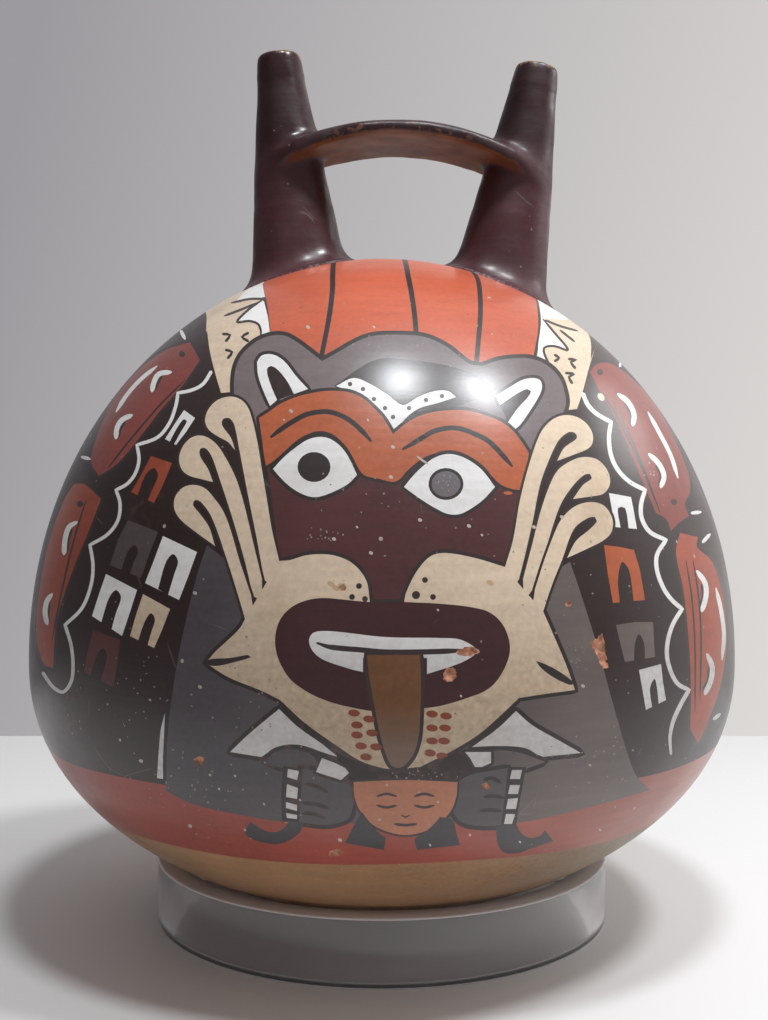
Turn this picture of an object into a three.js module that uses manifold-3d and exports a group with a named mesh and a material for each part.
// A hand-built double-spout-and-bridge vessel of painted, burnished clay, standing in a clear ring.
// Millimetres, +Z up. The origin is on the table under the middle of the ring. The painted face
// looks along -Y, and the two spouts stand side by side along X, joined by the strap bridge.
import * as THREE from "three";
import { mergeVertices } from "three/addons/utils/BufferGeometryUtils.js";
import Module from "manifold-3d";

const wasm = await Module();
wasm.setup();

// Body: a round belly under a taller, nearly elliptical shoulder
const bodyRadius = 85; // at the widest level
const bellyHeight = 60.7; // from the round bottom up to the widest level
const shoulderRise = 96.4; // from the widest level up to the top of the body
const bodyWall = 5;
const shoulderFlankExponent = 2.07; // of the two superellipses, 2 is an ellipse
const shoulderCrownExponent = 1.96;
const bellyFlankExponent = 2.16;
const bellyBottomExponent = 1.74;

// Spouts: two tapering tubes that spread away from each other
const spoutRise = 50; // rim above the top of the body
const spoutSpread = 25.2; // each spout's axis from the middle of the pair, at the body's top
const spoutTilt = THREE.MathUtils.degToRad(7.7);
const rimRadius = 5.4;
const footRadius = 11.3; // outer radius at the level of the body's top
const spoutWall = 1.9;
const rimRounding = 0.9;
const jointReach = 6; // how far the smoothed joint runs up the spout and out over the body
const jointBite = 0.2; // the joint's thin edge is sunk this far into the body
const footBurial = 24; // the foot and the bore reach this far below the body's top

// Bridge: an arched strap, flat below and domed on top, through which both spouts pass
const bridgeRise = 28.5; // its underside above the body's top, at the middle
const bridgeArch = 60; // radius of the underside's arc
const bridgeWidth = 27;
const bridgeEdge = 2.9; // thickness along the front and back edges
const bridgeCrown = 2.3; // how much thicker it is along the middle
const bridgeOverhang = 0.4; // past the outer side of each spout
const bridgeOutlineExponent = 3; // of its outline seen from above, 2 is an ellipse

// The pair was luted on a little off centre, and leans to the same side
const pairShift = 4.4;
const pairLean = THREE.MathUtils.degToRad(2.4);

// Ring: a short length of clear tube that the round bottom sits in
const ringHeight = 15;
const ringWall = 6;
const ringChamfer = 0.6;
const tableGap = 3; // air left under the vessel's bottom
const seatGap = 0.3; // between the ring's top edge and the clay

// Facets
const bodySides = 72;
const bodyRows = 30;
const hollowSides = 40;
const hollowRows = 16;
const spoutSides = 28;
const boreSides = 20;
const jointSteps = 5;
const rimSteps = 3;
const bridgeSteps = 26;
const outlineSides = 48;

const widestLevel = tableGap + bellyHeight;
const bodyTop = widestLevel + shoulderRise;

// Radius of the body at a height above the table, with every wall drawn in by an inset.
function bodyRadiusAt(height, inset = 0) {
  const above = height >= widestLevel;
  const reach = (above ? shoulderRise : bellyHeight) - inset;
  const share = Math.min(Math.abs(height - widestLevel) / reach, 1);
  const flank = above ? shoulderFlankExponent : bellyFlankExponent;
  const crown = above ? shoulderCrownExponent : bellyBottomExponent;
  return (bodyRadius - inset) * (1 - share ** flank) ** (1 / crown);
}

// A closed mesh as a solid that can be joined and cut.
function solid(geometry) {
  const bare = geometry.index ? geometry.toNonIndexed() : geometry.clone();
  bare.deleteAttribute("normal");
  bare.deleteAttribute("uv");
  const merged = mergeVertices(bare, 1e-4);
  return new wasm.Manifold(
    new wasm.Mesh({
      numProp: 3,
      vertProperties: merged.attributes.position.array,
      triVerts: new Uint32Array(merged.index.array),
    }),
  );
}

// A solid as a flat-shaded geometry.
function geometryOf(made) {
  const mesh = made.getMesh();
  const geometry = new THREE.BufferGeometry();
  geometry.setAttribute("position", new THREE.BufferAttribute(mesh.vertProperties, mesh.numProp));
  geometry.setIndex(new THREE.BufferAttribute(mesh.triVerts, 1));
  geometry.computeVertexNormals();
  return geometry;
}

// A profile of [radius, height] pairs, lowest first, turned about +Z.
function turned(profile, sides) {
  const points = profile.map(([radius, height]) => new THREE.Vector2(radius, height));
  return new THREE.LatheGeometry(points, sides).rotateX(Math.PI / 2);
}

// The body's round form, from its bottom to its top, drawn in by an inset.
function roundBody(inset, sides, rows) {
  const profile = [];
  for (let row = 0; row <= rows; row++) {
    const turn = Math.PI * (row / rows - 0.5);
    const reach = (turn > 0 ? shoulderRise : bellyHeight) - inset;
    const height = widestLevel + reach * Math.sin(turn);
    const atPole = row === 0 || row === rows;
    profile.push([atPole ? 0 : bodyRadiusAt(height, inset), height]);
  }
  return solid(turned(profile, sides));
}

// The height of the shoulder at a distance from the body's axis.
function shoulderLevel(radius) {
  const share = Math.min(radius / bodyRadius, 1);
  const rise = (1 - share ** shoulderCrownExponent) ** (1 / shoulderFlankExponent);
  return widestLevel + shoulderRise * rise;
}

// Outer radius of a spout at a height above the body's top, measured along the spout.
function spoutRadiusAt(height) {
  return footRadius + ((rimRadius - footRadius) * height) / spoutRise;
}

// From a spout's own frame to the table's: out along the pair, tilted, leaned and set on the body.
function spoutPlace(side) {
  const place = pairPlace();
  place.multiply(new THREE.Matrix4().makeTranslation(side * spoutSpread, 0, 0));
  return place.multiply(new THREE.Matrix4().makeRotationY(side * spoutTilt));
}

function pairPlace() {
  const place = new THREE.Matrix4().makeTranslation(pairShift, 0, bodyTop);
  return place.multiply(new THREE.Matrix4().makeRotationY(pairLean));
}

// Where one generator of a spout's cone meets the shoulder, as a height along the spout.
function footHeight(place, turn) {
  let low = -bodyRadius / 2;
  let high = bodyRadius / 4;
  for (let halving = 0; halving < 24; halving++) {
    const middle = (low + high) / 2;
    const at = conePoint(place, turn, middle);
    if (at.z < shoulderLevel(Math.hypot(at.x, at.y))) low = middle;
    else high = middle;
  }
  return low;
}

function conePoint(place, turn, height) {
  const radius = spoutRadiusAt(height);
  const point = new THREE.Vector3(radius * Math.cos(turn), radius * Math.sin(turn), height);
  return point.applyMatrix4(place);
}

// One side of a spout from its buried foot to its rim: the smoothed joint, the taper, the worn rim.
function spoutSide(place, turn) {
  const foot = footHeight(place, turn);
  const corner = conePoint(place, turn, foot);
  const axis = new THREE.Vector3(0, 0, foot).applyMatrix4(place);
  const out = new THREE.Vector2(corner.x - axis.x, corner.y - axis.y).normalize();
  const skirt = new THREE.Vector3(corner.x + jointReach * out.x, corner.y + jointReach * out.y, 0);
  skirt.z = shoulderLevel(Math.hypot(skirt.x, skirt.y)) - jointBite;
  const joint = new THREE.QuadraticBezierCurve3(skirt, corner, conePoint(place, turn, foot + jointReach));
  const side = [skirt.clone().setZ(skirt.z - bodyWall), ...joint.getPoints(jointSteps)];
  side.push(conePoint(place, turn, spoutRise / 2));
  for (let step = 0; step <= rimSteps; step++) {
    const bend = (Math.PI / 2) * (step / rimSteps);
    const radius = rimRadius - rimRounding * (1 - Math.cos(bend));
    const height = spoutRise - rimRounding * (1 - Math.sin(bend));
    const point = new THREE.Vector3(radius * Math.cos(turn), radius * Math.sin(turn), height);
    side.push(point.applyMatrix4(place));
  }
  return side;
}

// One spout's outside: a turned blank whose sides are moved to where the clay really runs.
function spoutOutside(side) {
  const place = spoutPlace(side);
  const bottom = new THREE.Vector3(0, 0, -footBurial).applyMatrix4(place);
  const top = new THREE.Vector3(0, 0, spoutRise).applyMatrix4(place);
  const sides = Array.from({ length: spoutSides + 1 }, (_, sector) => {
    const turn = 2 * Math.PI * ((sector % spoutSides) / spoutSides);
    return [bottom, ...spoutSide(place, turn), top];
  });
  const rows = sides[0].length;
  const profile = sides[0].map((_, row) => {
    const atEnd = row === 0 || row === rows - 1;
    return new THREE.Vector2(atEnd ? 0 : 1, row);
  });
  const blank = new THREE.LatheGeometry(profile, spoutSides);
  const position = blank.getAttribute("position");
  sides.forEach((points, sector) => {
    points.forEach((point, row) => position.setXYZ(sector * rows + row, point.x, point.y, point.z));
  });
  return solid(blank);
}

// The bore of one spout, past the rim above and into the hollow body below.
function spoutBore(side) {
  const pastRim = 2;
  const profile = [
    [0, -footBurial],
    [spoutRadiusAt(-footBurial / 2) - spoutWall, -footBurial],
    [spoutRadiusAt(-footBurial / 2) - spoutWall, -footBurial / 2],
    [rimRadius - spoutWall, spoutRise],
    [rimRadius - spoutWall, spoutRise + pastRim],
    [0, spoutRise + pastRim],
  ];
  return solid(turned(profile, boreSides)).transform(spoutPlace(side).elements);
}

// The strap: its section swept along the arch, with its ends rounded round the spouts.
function bridge() {
  const middle = bridgeRise - bridgeArch;
  const halfWidth = bridgeWidth / 2;
  const axisAtBridge = spoutSpread + bridgeRise * Math.tan(spoutTilt);
  const halfLength = axisAtBridge + spoutRadiusAt(bridgeRise) + bridgeOverhang;
  const turn = Math.asin(Math.min((halfLength + bridgeOverhang) / bridgeArch, 1));
  const arch = new THREE.CatmullRomCurve3(
    Array.from({ length: bridgeSteps + 1 }, (_, step) => {
      const at = turn * ((2 * step) / bridgeSteps - 1);
      return new THREE.Vector3(bridgeArch * Math.sin(at), 0, middle + bridgeArch * Math.cos(at));
    }),
  );
  // The section's first axis runs across the strap, and its second points down.
  const section = new THREE.Shape();
  section.moveTo(-halfWidth, 0);
  section.lineTo(halfWidth, 0);
  section.lineTo(halfWidth, -bridgeEdge);
  section.quadraticCurveTo(0, -bridgeEdge - 2 * bridgeCrown, -halfWidth, -bridgeEdge);
  section.closePath();
  const strap = solid(
    new THREE.ExtrudeGeometry(section, { steps: bridgeSteps, extrudePath: arch, curveSegments: 8 }),
  );
  // Seen from above, the strap is a superellipse: straight along the middle, round at the ends.
  const corner = (value) => Math.sign(value) * Math.abs(value) ** (2 / bridgeOutlineExponent);
  const outline = new THREE.Shape(
    Array.from({ length: outlineSides }, (_, side) => {
      const at = (2 * Math.PI * side) / outlineSides;
      return new THREE.Vector2(halfLength * corner(Math.cos(at)), halfWidth * corner(Math.sin(at)));
    }),
  );
  const column = new THREE.ExtrudeGeometry(outline, { depth: spoutRise, bevelEnabled: false });
  return strap.intersect(solid(column)).transform(pairPlace().elements);
}

// The vessel: one hollow piece of fired clay.
function vessel() {
  let clay = roundBody(0, bodySides, bodyRows).add(bridge());
  let hollow = roundBody(bodyWall, hollowSides, hollowRows);
  for (const side of [-1, 1]) {
    clay = clay.add(spoutOutside(side));
    hollow = hollow.add(spoutBore(side));
  }
  return geometryOf(clay.subtract(hollow));
}

// The ring: its top inner edge meets the clay all round.
function ring() {
  const inner = bodyRadiusAt(ringHeight + seatGap);
  const outer = inner + ringWall;
  const profile = [
    [inner, 0],
    [outer - ringChamfer, 0],
    [outer, ringChamfer],
    [outer, ringHeight - ringChamfer],
    [outer - ringChamfer, ringHeight],
    [inner, ringHeight],
    [inner, 0],
  ];
  return geometryOf(solid(turned(profile, bodySides)));
}

function piece(name, geometry, material) {
  const mesh = new THREE.Mesh(geometry, material);
  mesh.name = name;
  return mesh;
}

const burnishedClay = new THREE.MeshStandardMaterial({ color: "#4a2b2c", roughness: 0.3, metalness: 0 });
const clearAcrylic = new THREE.MeshStandardMaterial({
  color: "#e9eef0",
  roughness: 0.05,
  metalness: 0,
  transparent: true,
  opacity: 0.35,
});

const model = new THREE.Group();
model.add(piece("vessel", vessel(), burnishedClay));
model.add(piece("ring_stand", ring(), clearAcrylic));

export default model;
